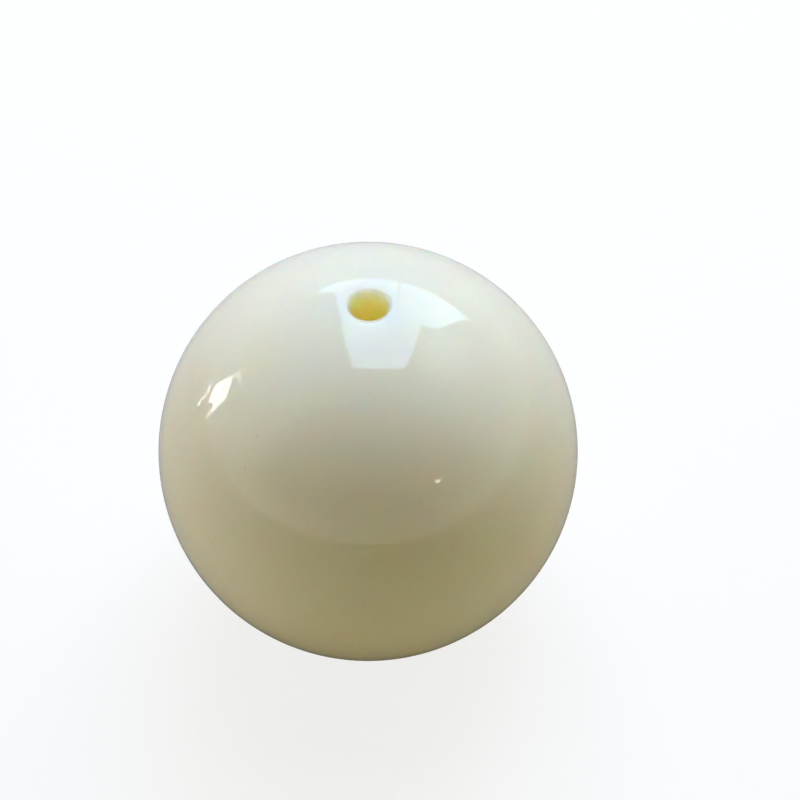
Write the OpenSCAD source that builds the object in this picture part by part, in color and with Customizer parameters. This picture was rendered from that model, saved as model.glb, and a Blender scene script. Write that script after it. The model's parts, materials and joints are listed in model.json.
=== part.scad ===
// Drilled cue ball.
// One solid casting of ivory-white resin, ground and polished to a true sphere, with one blind
// hole drilled along a radius for a rod or a screw. The polishing has rounded the hole's mouth.
// The origin is the centre of the ball, and +Z runs along the hole and out of its mouth.

/* [Ball] */
// Diameter of the ball, 2 1/4 inch
ball_d = 57.15; // [47.6:0.05:68.3]

/* [Hole] */
// Diameter of the hole
hole_d = 5; // [3:0.1:10]
// Depth from the crown of the ball to the shoulder where the drill's point begins
hole_depth = 25; // [10:0.5:35]
// Included angle of the drill's point, in degrees
point_angle = 118; // [90:1:140]
// Radius of the round between the hole and the sphere
mouth_round = 0.5; // [0.1:0.05:1.5]

/* [Hidden] */
$fn = 180;

ball_r = ball_d / 2;
hole_r = hole_d / 2;
shoulder_z = ball_r - hole_depth;
point_z = shoulder_z - hole_r / tan(point_angle / 2);

// The mouth's round touches the bore and, from inside, the sphere. In the half section its
// centre lies mouth_round away from both.
round_x = hole_r + mouth_round;
round_z = sqrt(pow(ball_r - mouth_round, 2) - pow(round_x, 2));
// How far past the sphere the cut runs, as a multiple of the round's distance from the centre
past_crown = (ball_r + mouth_round) / (ball_r - mouth_round);

// Half section of the ball before it is drilled
module sphere_section() {
    intersection() {
        circle(r = ball_r);
        translate([0, -ball_r]) square([ball_r, ball_d]);
    }
}

// Half section of what is taken away: the drill's point, the bore, and the mouth that opens
// along the round. The round itself is left standing, as a circle kept out of the cut.
module hole_section() {
    difference() {
        polygon([
            [0, point_z],
            [hole_r, shoulder_z],
            [hole_r, round_z],
            [round_x, round_z],
            past_crown * [round_x, round_z],
            [0, past_crown * round_z]
        ]);
        translate([round_x, round_z]) circle(r = mouth_round);
    }
}

module ball() {
    color("ivory")
        rotate_extrude()
            difference() {
                sphere_section();
                hole_section();
            }
}

ball();
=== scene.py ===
import json
import math

import bmesh
import bpy
from mathutils import Euler, Matrix, Vector


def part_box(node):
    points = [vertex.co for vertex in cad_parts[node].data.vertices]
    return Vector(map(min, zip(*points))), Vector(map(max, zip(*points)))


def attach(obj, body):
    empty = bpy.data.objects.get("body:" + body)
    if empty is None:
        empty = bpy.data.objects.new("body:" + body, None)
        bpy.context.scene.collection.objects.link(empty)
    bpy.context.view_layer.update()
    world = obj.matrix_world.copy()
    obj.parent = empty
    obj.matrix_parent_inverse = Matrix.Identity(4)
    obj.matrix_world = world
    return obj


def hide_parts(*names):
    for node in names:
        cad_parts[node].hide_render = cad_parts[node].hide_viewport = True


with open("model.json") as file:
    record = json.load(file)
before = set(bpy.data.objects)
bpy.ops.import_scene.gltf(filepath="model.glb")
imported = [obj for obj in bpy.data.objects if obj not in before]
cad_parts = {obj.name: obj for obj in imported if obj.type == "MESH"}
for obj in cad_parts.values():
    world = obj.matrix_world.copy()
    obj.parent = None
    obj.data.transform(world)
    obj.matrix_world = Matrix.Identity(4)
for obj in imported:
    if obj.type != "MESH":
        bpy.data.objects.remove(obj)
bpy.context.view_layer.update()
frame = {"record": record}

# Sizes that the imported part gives, in metres
low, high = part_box("ball")
ballRadius = (high.x - low.x) / 2
hole = next(m for m in frame["record"]["mounts"] if m["name"] == "drilled_hole")
boreRadius = hole["dims"]["r_mm"] / 1000
boreLength = hole["dims"]["length_mm"] / 1000
floorHeight = -ballRadius  # the ball stands on its lowest point
print("frame loaded")


# Camera, looking down on the ball, which sits a little left of and below the middle of the frame
cameraView = {
    "elevation": 50.27,  # degrees above the horizon, seen from the ball
    "distanceInRadii": 8.0,
    "lens": 74.83,  # millimetres, on a 36 mm sensor
    "aimUp": 1.74,  # degrees that the camera looks above the ball
    "aimRight": 1.08,  # and to the right of it
}


def makeCamera():
    elevation = math.radians(cameraView["elevation"])
    distance = cameraView["distanceInRadii"] * ballRadius
    data = bpy.data.cameras.new("camera")
    data.sensor_width = 36
    data.lens = cameraView["lens"]
    data.clip_start = 0.01
    data.clip_end = 100
    camera = bpy.data.objects.new("camera", data)
    camera.location = (0, -distance * math.cos(elevation), distance * math.sin(elevation))
    atBall = (-camera.location).to_track_quat("-Z", "Y")
    turn = Euler((math.radians(cameraView["aimUp"]), -math.radians(cameraView["aimRight"]), 0))
    camera.rotation_euler = (atBall @ turn.to_quaternion()).to_euler()
    bpy.context.collection.objects.link(camera)
    bpy.context.scene.camera = camera


makeCamera()
print("camera set")


def towards(around, rise):
    # Unit vector from degrees clockwise of the back and degrees up
    turn, up = math.radians(around), math.radians(rise)
    return Vector((math.sin(turn) * math.cos(up), math.cos(turn) * math.cos(up), math.sin(up)))


# Small helpers for node trees
def newMaterial(name):
    material = bpy.data.materials.new(name)
    material.use_nodes = True
    return material, material.node_tree, material.node_tree.nodes["Principled BSDF"]


def addNode(tree, kind, settings=None, inputs=None):
    node = tree.nodes.new(kind)
    for name, value in (settings or {}).items():
        setattr(node, name, value)
    for name, value in (inputs or {}).items():
        if isinstance(value, bpy.types.NodeSocket):
            tree.links.new(value, node.inputs[name])
        else:
            node.inputs[name].default_value = value
    return node


def calculate(tree, operation, first, second=0.0):
    return addNode(tree, "ShaderNodeMath", {"operation": operation}, {0: first, 1: second}).outputs[0]


def mixColours(tree, factor, first, second):
    node = addNode(tree, "ShaderNodeMix", {"data_type": "RGBA"})
    for socket, value in ((node.inputs[0], factor), (node.inputs[6], first), (node.inputs[7], second)):
        if isinstance(value, bpy.types.NodeSocket):
            tree.links.new(value, socket)
        else:
            socket.default_value = value
    return node.outputs[2]


def objectPlace(tree):
    return addNode(tree, "ShaderNodeTexCoord").outputs["Object"]


def axisOf(tree, vector, axis):
    return addNode(tree, "ShaderNodeSeparateXYZ", None, {"Vector": vector}).outputs[axis]


def lengthOf(tree, vector):
    return addNode(tree, "ShaderNodeVectorMath", {"operation": "LENGTH"}, {0: vector}).outputs["Value"]


def ramp(tree, value, start, end, bottom=0.0, top=1.0):
    # The bottom before the start, the top past the end, and a smooth rise between
    return addNode(
        tree, "ShaderNodeMapRange", {"interpolation_type": "SMOOTHSTEP"},
        {"Value": value, "From Min": start, "From Max": end, "To Min": bottom, "To Max": top},
    ).outputs["Result"]


# Ivory resin: polished outside, satin where the drill went in, and painted amber in and round the hole for
# light scattered through the resin and between the bore's walls
resin = {
    "ivory": (0.85, 0.81, 0.63, 1),
    "ivoryShade": (0.82, 0.775, 0.585, 1),
    # painted light: amber standing in for light scattered through the resin and between the bore's walls
    "paintedScatterAmber": (1.0, 0.86, 0.37, 1),
    "fadeDepth": 0.0033,  # depth at which the painted amber of scattered light has mostly taken over from the ivory
    "cloudSize": 0.016,
    "hazeSize": 0.0035,
    "hazeSpread": (0.3, 0.7),  # noise at which the polish is at its best and at its worst
    "polished": (0.028, 0.048),  # where the buffing wheel cut best and worst
    "drilled": 0.50,
    "drilledFrom": 0.0002,  # depths between which the polish gives way to what the drill left
    "drilledTo": 0.0008,
    "ringPitch": 0.00028,  # of the rings that the drill left down the hole
    "ringHeight": 0.00001,
    "ringStrength": 0.25,
    "scatter": 1.0,
    "scatterDepth": 0.022,
    "scatterColours": (1.0, 0.58, 0.29),
    "index": 1.53,
    "fleckCell": 0.0062,  # one faint fleck at most in a cell of this size
    "fleckRadius": 0.00026,
    "fleckCore": 0.1,  # share of the radius in which a fleck shows in full
    "fleckStrength": 0.17,
    "fleck": (0.40, 0.31, 0.19, 1),
}
# The flecks that show most: degrees clockwise of the back, degrees up from the middle, and radius
flecks = [(222.7, 45.4, 0.00034), (221.6, 37.0, 0.00030), (175.2, 23.8, 0.00034), (225.2, 11.2, 0.00028),
          (179.3, 64.3, 0.00026), (157.3, 22.5, 0.00026)]
# The mouth's finish, with painted amber of scattered light and a painted shade line. Distances are outwards
# from the bore's wall.
mouthFinishAndPaintedLight = {
    "topOnly": (0.95, 0.97),  # heights, as shares of the ball's radius, that keep it off the ball's foot
    "tint": 0.15,  # share of painted amber, for light scattered out through the resin, just outside the mouth
    "tintFull": 0.0003,
    "tintEnd": 0.0012,
    "tintWear": 0.25,  # share of the drill's roughness there
    "paintedShadeLine": (0.40, 0.31, 0.16, 1),  # painted shade, a dark line in the near half of the round
    "lineAside": 0.0007,  # how far nearer than the hole's axis its own axis stands
    "lineFull": -0.0003,
    "lineEnd": 0.0002,
    "lineDepth": 0.0008,
}


def fleckMask(tree, place):
    cells = addNode(
        tree, "ShaderNodeTexVoronoi", {"feature": "F1"},
        {"Vector": place, "Scale": 1 / resin["fleckCell"]},
    ).outputs["Distance"]
    nearest = calculate(tree, "MULTIPLY", cells, resin["fleckCell"] / resin["fleckRadius"])
    for around, rise, radius in flecks:
        spot = towards(around, rise) * ballRadius
        gap = addNode(
            tree, "ShaderNodeVectorMath", {"operation": "DISTANCE"}, {0: place, 1: spot}
        ).outputs["Value"]
        nearest = calculate(tree, "MINIMUM", nearest, calculate(tree, "DIVIDE", gap, radius))
    return ramp(tree, nearest, 1.0, resin["fleckCore"], top=resin["fleckStrength"])


def aroundMouth(tree, place, full, end, aside=0.0):
    # 1 up to the full distance from the wall and 0 past the end, round an axis that may stand aside
    shifted = addNode(tree, "ShaderNodeVectorMath", {"operation": "ADD"}, {0: place, 1: (0, aside, 0)})
    flat = addNode(
        tree, "ShaderNodeVectorMath", {"operation": "MULTIPLY"},
        {0: shifted.outputs["Vector"], 1: (1, 1, 0)},
    ).outputs["Vector"]
    near = ramp(tree, lengthOf(tree, flat), boreRadius + end, boreRadius + full)
    lowest, highest = mouthFinishAndPaintedLight["topOnly"]
    onTop = ramp(tree, axisOf(tree, place, "Z"), lowest * ballRadius, highest * ballRadius)
    return calculate(tree, "MULTIPLY", near, onTop)


def resinMaterial():
    material, tree, shader = newMaterial("ivoryResin")
    place = objectPlace(tree)
    depth = calculate(tree, "SUBTRACT", ballRadius, lengthOf(tree, place))
    tinted = aroundMouth(tree, place, mouthFinishAndPaintedLight["tintFull"], mouthFinishAndPaintedLight["tintEnd"])
    # painted shade: a dark line in the near half of the mouth's round, also a little rougher
    paintedShadeLine = aroundMouth(
        tree, place, mouthFinishAndPaintedLight["lineFull"], mouthFinishAndPaintedLight["lineEnd"], aside=mouthFinishAndPaintedLight["lineAside"]
    )
    shallow = calculate(tree, "LESS_THAN", depth, mouthFinishAndPaintedLight["lineDepth"])
    paintedShadeLine = calculate(tree, "MULTIPLY", paintedShadeLine, shallow)

    # Colour: soft clouds in the ivory, a few flecks, painted amber for light scattered through the resin
    # and between the bore's walls, and a painted shade line on the near half of the mouth's round
    clouds = addNode(
        tree, "ShaderNodeTexNoise", None,
        {"Vector": place, "Scale": 1 / resin["cloudSize"], "Detail": 3.0, "Distortion": 0.6},
    ).outputs["Fac"]
    body = mixColours(tree, clouds, resin["ivory"], resin["ivoryShade"])
    body = mixColours(tree, fleckMask(tree, place), body, resin["fleck"])
    # painted light: with depth the ivory gives way to amber, for light scattered through the resin and
    # between the bore's walls
    clear = calculate(tree, "EXPONENT", calculate(tree, "MULTIPLY", depth, -1 / resin["fadeDepth"]))
    clear = calculate(tree, "SUBTRACT", clear, calculate(tree, "MULTIPLY", tinted, mouthFinishAndPaintedLight["tint"]))
    body = mixColours(tree, clear, resin["paintedScatterAmber"], body)
    tree.links.new(mixColours(tree, paintedShadeLine, body, mouthFinishAndPaintedLight["paintedShadeLine"]), shader.inputs["Base Color"])

    # Gloss: buffed to a mirror with a little haze, satin from the mouth's round down
    haze = addNode(
        tree, "ShaderNodeTexNoise", None,
        {"Vector": place, "Scale": 1 / resin["hazeSize"], "Detail": 4.0, "Roughness": 0.6},
    ).outputs["Fac"]
    buffed = addNode(
        tree, "ShaderNodeMapRange", None,
        {"Value": haze, "From Min": resin["hazeSpread"][0], "From Max": resin["hazeSpread"][1],
         "To Min": resin["polished"][0], "To Max": resin["polished"][1]},
    ).outputs["Result"]
    inside = ramp(tree, depth, resin["drilledFrom"], resin["drilledTo"])
    worn = calculate(tree, "MULTIPLY", tinted, mouthFinishAndPaintedLight["tintWear"])
    worn = calculate(tree, "MAXIMUM", calculate(tree, "MAXIMUM", inside, worn), paintedShadeLine)
    rough = addNode(
        tree, "ShaderNodeMix", {"data_type": "FLOAT"}, {0: worn, 2: buffed, 3: resin["drilled"]}
    )
    tree.links.new(rough.outputs[0], shader.inputs["Roughness"])

    # Relief: rings down the hole, and next to nothing on the polish
    turns = calculate(tree, "MULTIPLY", axisOf(tree, place, "Z"), 2 * math.pi / resin["ringPitch"])
    uneven = calculate(tree, "ADD", calculate(tree, "SINE", turns), haze)
    bump = addNode(
        tree, "ShaderNodeBump", None,
        {"Strength": resin["ringStrength"], "Distance": resin["ringHeight"],
         "Height": calculate(tree, "MULTIPLY", uneven, inside)},
    ).outputs["Normal"]
    tree.links.new(bump, shader.inputs["Normal"])

    shader.inputs["IOR"].default_value = resin["index"]
    shader.inputs["Subsurface Weight"].default_value = resin["scatter"]
    shader.inputs["Subsurface Radius"].default_value = resin["scatterColours"]
    shader.inputs["Subsurface Scale"].default_value = resin["scatterDepth"]
    return material


ball = {
    "mouthRound": 0.0005,  # radius of the polished edge of the hole
    "pointAngle": 118,  # degrees, the drill's point
    "turns": 320,  # steps round the axis
    "arcSteps": 150,
    "roundSteps": 12,
    "boreCuts": 23,
    "creaseAngle": 25,  # degrees, past which an edge stays sharp
}


def makeBall():
    roundX = boreRadius + ball["mouthRound"]
    roundZ = math.sqrt((ballRadius - ball["mouthRound"]) ** 2 - roundX**2)
    mouthAngle = math.atan2(roundX, roundZ)  # from the axis to where the round leaves the sphere
    shoulder = Vector((boreRadius, 0, roundZ - boreLength))
    point = Vector((0, 0, shoulder.z - boreRadius / math.tan(math.radians(ball["pointAngle"] / 2))))

    # Half outline, from the foot up the side, over the round, down the bore and in to the point
    outline = bmesh.new()
    start = bmesh.ops.create_vert(outline, co=(0, 0, -ballRadius))["vert"]
    side = bmesh.ops.spin(
        outline, geom=start, cent=(0, 0, 0), axis=(0, -1, 0),
        angle=math.pi - mouthAngle, steps=ball["arcSteps"],
    )["geom_last"]
    mouth = bmesh.ops.spin(
        outline, geom=side, cent=(roundX, 0, roundZ), axis=(0, -1, 0),
        angle=math.pi / 2 + mouthAngle, steps=ball["roundSteps"],
    )["geom_last"]
    wall = bmesh.ops.extrude_vert_indiv(outline, verts=mouth)
    wall["verts"][0].co = shoulder
    bmesh.ops.extrude_vert_indiv(outline, verts=wall["verts"])["verts"][0].co = point
    bmesh.ops.subdivide_edges(outline, edges=wall["edges"], cuts=ball["boreCuts"])

    # The outline turned once round the axis
    bmesh.ops.spin(
        outline, geom=outline.verts[:] + outline.edges[:], cent=(0, 0, 0), axis=(0, 0, 1),
        angle=2 * math.pi, steps=ball["turns"], use_merge=True,
    )
    bmesh.ops.remove_doubles(outline, verts=outline.verts, dist=1e-7)
    bmesh.ops.recalc_face_normals(outline, faces=outline.faces)
    mesh = bpy.data.meshes.new("drilledBall")
    outline.to_mesh(mesh)
    outline.free()
    mesh.shade_smooth()
    mesh.set_sharp_from_angle(angle=math.radians(ball["creaseAngle"]))
    mesh.materials.append(resinMaterial())
    piece = bpy.data.objects.new("drilledBall", mesh)
    bpy.context.collection.objects.link(piece)
    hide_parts("ball")
    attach(piece, "root")


makeBall()
print("ball turned and drilled")


# Floor and room. Both are white to the eye, and the floor keeps the ball's shadow. In a polished
# surface the room is white too, and the floor a soft grey. The light that they scatter on to the ball
# is warm and dim, as from a wooden table in a dark room.
floorLook = {
    "width": 12.0,
    "paint": (1.0, 0.965, 0.87, 1),
    "glow": 0.80,  # share of the near floor's white that needs no lamp
    "fadeStart": 0.25,  # metres from the ball at which the floor starts to fade into the white room
    "fadeEnd": 0.9,
    "footDark": 0.022,  # metres from its own foot at which the ball's gloss starts to show the floor
    "footClear": 0.09,
    "mirrored": 0.45,  # share of the glow that the ball's gloss shows past its own foot
    "bounce": (0.86, 0.66, 0.37, 1),  # the paint for the light that it scatters
    "roughness": 0.9,
}
room = {"white": (1, 1, 1, 1), "dim": (0.02, 0.02, 0.02, 1)}


def seenDirectly(tree):
    path = addNode(tree, "ShaderNodeLightPath").outputs
    eyeOrGloss = calculate(tree, "MAXIMUM", path["Is Camera Ray"], path["Is Glossy Ray"])
    return calculate(tree, "MAXIMUM", eyeOrGloss, path["Is Transmission Ray"])


def floorMaterial():
    material, tree, shader = newMaterial("floorPaint")
    away = lengthOf(tree, objectPlace(tree))
    fade = ramp(tree, away, floorLook["fadeStart"], floorLook["fadeEnd"], bottom=floorLook["glow"])
    # In the ball's own mirror the floor goes dark at its foot, where hardly any light gets in
    foot = ramp(tree, away, floorLook["footDark"], floorLook["footClear"], top=floorLook["mirrored"])
    toEye = addNode(tree, "ShaderNodeLightPath").outputs["Is Camera Ray"]
    fade = calculate(tree, "MULTIPLY", fade, calculate(tree, "MAXIMUM", toEye, foot))
    seen = seenDirectly(tree)
    lit = [c * (1 - floorLook["glow"]) for c in floorLook["paint"][:3]] + [1]
    near = mixColours(tree, seen, floorLook["bounce"], lit)
    far = calculate(tree, "MULTIPLY", seen, calculate(tree, "GREATER_THAN", away, floorLook["fadeEnd"]))
    tree.links.new(mixColours(tree, far, near, (0, 0, 0, 1)), shader.inputs["Base Color"])
    tree.links.new(calculate(tree, "MULTIPLY", seen, fade), shader.inputs["Emission Strength"])
    shader.inputs["Emission Color"].default_value = room["white"]
    shader.inputs["Roughness"].default_value = floorLook["roughness"]
    shader.inputs["Specular IOR Level"].default_value = 0.0
    return material


def makeFloor():
    plate = bmesh.new()
    bmesh.ops.create_grid(plate, x_segments=1, y_segments=1, size=floorLook["width"] / 2)
    bmesh.ops.translate(plate, verts=plate.verts, vec=(0, 0, floorHeight))
    mesh = bpy.data.meshes.new("floor")
    plate.to_mesh(mesh)
    plate.free()
    mesh.materials.append(floorMaterial())
    piece = bpy.data.objects.new("floor", mesh)
    bpy.context.collection.objects.link(piece)


def makeRoom():
    scene = bpy.context.scene
    scene.world = bpy.data.worlds.new("room")
    scene.world.use_nodes = True
    tree = scene.world.node_tree
    colour = mixColours(tree, seenDirectly(tree), room["dim"], room["white"])
    tree.links.new(colour, tree.nodes["Background"].inputs["Color"])
    scene.view_settings.view_transform = "Standard"


makeFloor()
makeRoom()
print("floor laid and room painted")


# Bright cards that the ball mirrors and the camera doesn't see. Each has outlines on a plane, given by
# its origin, the way across and the way up. The points are (across, up), in metres.
sidePlane = {"across": (0, 1, 0), "up": (0, 0, 1)}
sparkPlane = {"origin": (0.576, -0.698, 0.426), "across": (0.771, 0.637, 0), "up": (-0.271, 0.329, 0.904)}
cards = {
    "roofWindow": {
        "origin": (0, 1.06, 0.472), "across": (1, 0, 0), "up": (0, -0.5896, 0.8077), "radiance": 6.0,
        "outlines": [[
            (-0.357, 0.124), (-0.30, 0.079), (-0.122, 0.029), (-0.013, 0.019), (0.193, 0.035),
            (0.225, 0.345), (0.238, 0.345), (0.211, 0.040), (0.352, 0.041), (0.852, 0.112),
            (0.661, 0.586), (0.482, 0.627), (0.48, 0.717), (0.534, 1.078), (0.545, 1.323),
            (0.526, 1.546), (0.214, 1.613), (0.02, 1.626), (-0.244, 1.569), (-0.234, 1.273),
            (-0.269, 1.163), (-0.238, 0.684), (-0.25, 0.493), (-0.237, 0.209), (-0.344, 0.178),
        ]],
        # height above the origin and the colour there
        "sky": [(0.0, (0.40, 0.51, 0.63)), (0.16, (0.46, 0.58, 0.73)), (0.40, (0.57, 0.72, 0.86)),
                (0.61, (0.54, 0.66, 0.84)), (0.81, (0.56, 0.63, 0.90)), (1.05, (0.52, 0.63, 0.92)),
                (1.30, (0.60, 0.75, 1.0))],
        "rightward": (0.25, 0.80, 1.32),  # from the first place to the second it gets so much brighter
    },
    "sideWindow": {
        **sidePlane, "origin": (-1, 0, 0), "radiance": 9.0, "colour": (1.0, 1.0, 0.97),
        "outlines": [[(0.418, 0.345), (0.387, 0.353), (0.343, 0.343), (0.288, 0.312), (0.235, 0.277),
                      (0.236, 0.196), (0.226, 0.100), (0.292, 0.118), (0.353, 0.058), (0.379, 0.094),
                      (0.420, 0.126), (0.443, 0.169), (0.426, 0.237)]],
    },
    "sideCurtain": {
        **sidePlane, "origin": (-1.01, 0, 0), "radiance": 4.2, "colour": (0.85, 1.0, 0.95),
        "outlines": [[(0.418, 0.345), (0.437, 0.398), (0.463, 0.462), (0.346, 0.477), (0.241, 0.475),
                      (0.249, 0.456), (0.322, 0.448), (0.387, 0.410), (0.387, 0.353)]],
    },
    "sideGlints": {
        **sidePlane, "origin": (-0.25, 0, 0), "radiance": 6.5, "colour": (1.0, 1.0, 0.88),
        "outlines": [
            [(0.113, 0.026), (0.109, 0.034), (0.098, 0.034), (0.090, 0.032), (0.095, 0.025)],
            [(0.096, 0.020), (0.091, 0.023), (0.091, 0.004), (0.087, -0.002), (0.092, -0.010),
             (0.097, -0.006)],
            [(0.061, 0.031), (0.054, 0.039), (0.046, 0.045), (0.044, 0.037), (0.054, 0.031)],
            [(0.055, 0.030), (0.050, 0.033), (0.046, 0.020), (0.052, 0.018)],
        ],
    },
    "frontWall": {
        "origin": (0, -1, 0), "across": (1, 0, 0), "up": (0, 0, 1), "radiance": 0.8,
        "outlines": [[(-2.15, 0.253), (3.3, 0.253), (3.3, 9.0), (-2.15, 9.0)]],
        "sky": [(0.253, (0.80, 0.80, 0.78)), (0.60, (0.46, 0.46, 0.45)), (1.2, (0.40, 0.40, 0.40)),
                (3.0, (0.70, 0.70, 0.70)), (9.0, (1.0, 1.0, 1.0))],
        "rightward": (-0.8, 1.2, 1.4),
    },
    "spark": {
        **sparkPlane, "radiance": 10.5, "colour": (1.0, 0.98, 0.84),
        "outlines": [[(-0.014, 0.024), (0.006, 0.034), (0.019, -0.006), (-0.008, -0.008)]],
    },
    "fainterSpark": {
        **sparkPlane, "radiance": 4.6, "colour": (1.0, 0.98, 0.84),
        "outlines": [[(0.021, 0.006), (0.040, 0.025), (0.059, 0.006), (0.040, -0.013)]],
    },
}


def skyColours(tree, card, place):
    base, top = card["origin"][2] + card["sky"][0][0], card["origin"][2] + card["sky"][-1][0]
    share = addNode(
        tree, "ShaderNodeMapRange", None,
        {"Value": axisOf(tree, place, "Z"), "From Min": base, "From Max": top},
    ).outputs["Result"]
    sky = addNode(tree, "ShaderNodeValToRGB", None, {"Fac": share})
    stops = sky.color_ramp.elements
    for index, (rise, colour) in enumerate(card["sky"]):
        stop = stops[index] if index < 2 else stops.new(1.0)
        stop.position = (card["origin"][2] + rise - base) / (top - base)
        stop.color = (*colour, 1)
    return sky.outputs["Color"]


def cardMaterial(name, card):
    material, tree, shader = newMaterial(name + "Light")
    tree.nodes.remove(shader)
    light = addNode(tree, "ShaderNodeEmission", None, {"Strength": card["radiance"]})
    if "sky" in card:
        place = objectPlace(tree)
        tree.links.new(skyColours(tree, card, place), light.inputs["Color"])
        start, end, gain = card["rightward"]
        brightest = card["radiance"] * gain
        gains = ramp(tree, axisOf(tree, place, "X"), start, end, card["radiance"], brightest)
        tree.links.new(gains, light.inputs["Strength"])
    else:
        light.inputs["Color"].default_value = (*card["colour"], 1)
    tree.links.new(light.outputs["Emission"], tree.nodes["Material Output"].inputs["Surface"])
    return material


def mirrorOnly(piece):
    piece.visible_camera = False
    piece.visible_diffuse = False
    piece.visible_transmission = False
    piece.visible_shadow = False
    bpy.context.collection.objects.link(piece)


def makeCards():
    for name, card in cards.items():
        across, up = Vector(card["across"]), Vector(card["up"])
        plane = Matrix((across, up, across.cross(up))).transposed().to_4x4()
        plane.translation = card["origin"]
        sheet = bmesh.new()
        for outline in card["outlines"]:
            corners = [bmesh.ops.create_vert(sheet, co=(x, y, 0))["vert"][0] for x, y in outline]
            sheet.faces.new(corners).normal_update()  # a hollow outline is cut up wrongly without it
        bmesh.ops.triangulate(sheet, faces=sheet.faces)
        bmesh.ops.transform(sheet, matrix=plane, verts=sheet.verts)
        mesh = bpy.data.meshes.new(name)
        sheet.to_mesh(mesh)
        sheet.free()
        mesh.materials.append(cardMaterial(name, card))
        mirrorOnly(bpy.data.objects.new(name, mesh))


# Round patches of the room, brighter or darker in the middle, that fade out into the white
patches = {
    "paleWall": {"centre": (1.10, 0.69, 1.56), "radius": (0.9, 0.9), "middle": 2.4},
    "backShade": {"centre": (0, 1.35, 0.12), "radius": (1.6, 0.42), "middle": 0.62},
}


def makePatches():
    for name, patch in patches.items():
        disc = bmesh.new()
        bmesh.ops.create_circle(disc, cap_ends=True, segments=64, radius=1.0)
        mesh = bpy.data.meshes.new(name)
        disc.to_mesh(mesh)
        disc.free()
        material, tree, shader = newMaterial(name + "Light")
        tree.nodes.remove(shader)
        strength = ramp(tree, lengthOf(tree, objectPlace(tree)), 0.0, 1.0, bottom=patch["middle"])
        light = addNode(tree, "ShaderNodeEmission", None, {"Color": room["white"], "Strength": strength})
        tree.links.new(light.outputs["Emission"], tree.nodes["Material Output"].inputs["Surface"])
        mesh.materials.append(material)
        piece = bpy.data.objects.new(name, mesh)
        piece.location = patch["centre"]
        piece.rotation_euler = (-piece.location).to_track_quat("Z", "Y").to_euler()
        piece.scale = (*patch["radius"], 1)
        mirrorOnly(piece)


makeCards()
makePatches()
print("cards hung")


# Soft lamps all round, for the even light that falls on the ball. Each faces the ball, from degrees
# clockwise of the back and degrees up, with width and height in metres.
lamps = {
    "backHigh": {"round": 10, "rise": 52, "size": (0.7, 0.5), "colour": (0.4, 0.6, 1), "radiance": 6.59},
    "topBack": {"round": 0, "rise": 70, "size": (0.7, 0.5), "colour": (1, 0.77, 0.78), "radiance": 2.30},
    "backLeft": {"round": 318, "rise": 30, "size": (0.6, 0.5), "colour": (0.8, 1, 0.94), "radiance": 0.88},
    "backRight": {"round": 50, "rise": 32, "size": (0.6, 0.5), "colour": (0.89, 1, 0.93), "radiance": 1.87},
    "left": {"round": 271, "rise": 11, "size": (0.6, 0.4), "colour": (0.89, 0.96, 1), "radiance": 2.86},
    "right": {"round": 92, "rise": 16, "size": (0.6, 0.4), "colour": (0.97, 1, 0.83), "radiance": 0.72},
    "front": {"round": 170, "rise": 40, "size": (0.7, 0.5), "colour": (0.57, 1, 0.39), "radiance": 0.56},
}
lampDistance = 0.85


def makeLamps():
    for name, lamp in lamps.items():
        data = bpy.data.lights.new(name, "AREA")
        data.shape = "RECTANGLE"
        data.size, data.size_y = lamp["size"]
        data.color = lamp["colour"]
        data.energy = lamp["radiance"] * math.pi * data.size * data.size_y
        away = towards(lamp["round"], lamp["rise"])
        piece = bpy.data.objects.new(name, data)
        piece.location = away * lampDistance
        piece.rotation_euler = (-away).to_track_quat("-Z", "Y").to_euler()
        piece.visible_camera = False
        piece.visible_glossy = False
        bpy.context.collection.objects.link(piece)


makeLamps()
print("lamps lit")
